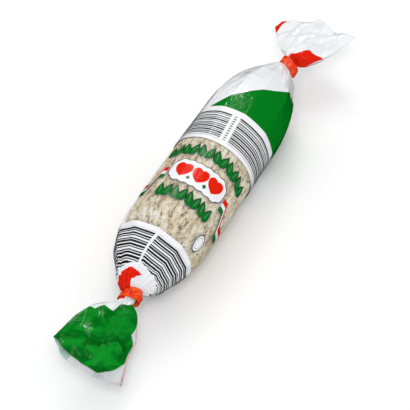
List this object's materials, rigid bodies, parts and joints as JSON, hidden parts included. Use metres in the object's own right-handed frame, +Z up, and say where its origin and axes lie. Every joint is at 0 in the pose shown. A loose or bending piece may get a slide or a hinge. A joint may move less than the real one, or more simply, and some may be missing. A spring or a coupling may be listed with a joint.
{
  "type": "film-wrapped cured sausage",
  "caption": "Stick of air-dried salami in a printed film wrapper, gathered and taped at both ends like a sweet, with flared open tails.",
  "frame": {"origin": "middle of the flat strip along the underside where the stick rests on a table", "axes": "+X along the stick towards the end with the longer, conical shoulder, +Z up, +Y across"},
  "size_m": [0.319, 0.0635, 0.0549],
  "materials": {
    "salami": "dry, powdery mould over a dried meat skin",
    "printed_film": "glossy printed film with a clear window",
    "red_tape": "glossy adhesive tape",
    "clip_metal": "satin drawn wire"
  },
  "bodies": {
    "root": {"salami": "salami", "wrapper_film": "printed_film", "neck_tape_near": "red_tape", "neck_tape_far": "red_tape", "casing_clip_near": "clip_metal", "casing_clip_far": "clip_metal"}
  },
  "joints": []
}
